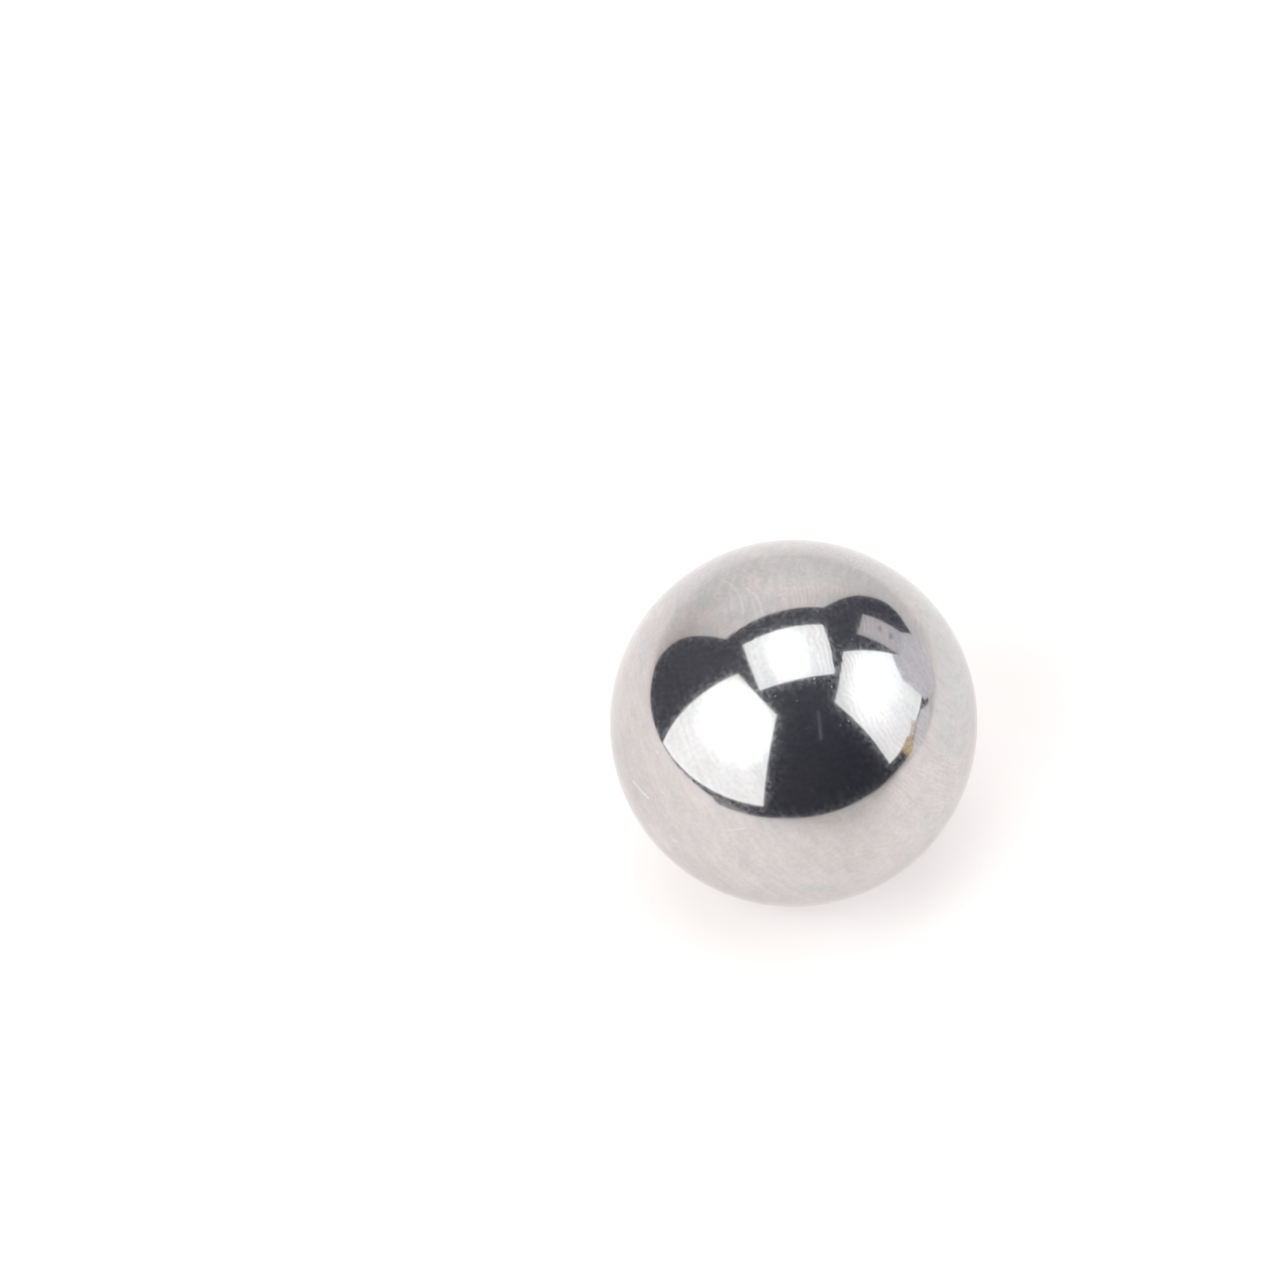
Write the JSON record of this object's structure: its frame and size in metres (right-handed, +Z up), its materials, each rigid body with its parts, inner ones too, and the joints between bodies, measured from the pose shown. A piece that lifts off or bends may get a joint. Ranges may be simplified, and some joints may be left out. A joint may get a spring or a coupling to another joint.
{
  "type": "steel ball",
  "caption": "Solid mirror-polished steel ball, a plain true sphere with no flat, seam or hole.",
  "frame": {"origin": "centre of the ball", "axes": "+Z straight up from the surface that the ball lies on; X and Y are free, because the ball is the same all round"},
  "size_m": [0.035, 0.035, 0.035],
  "materials": {
    "lapped_steel": "polished"
  },
  "bodies": {
    "root": {"ball": "lapped_steel"}
  },
  "joints": []
}
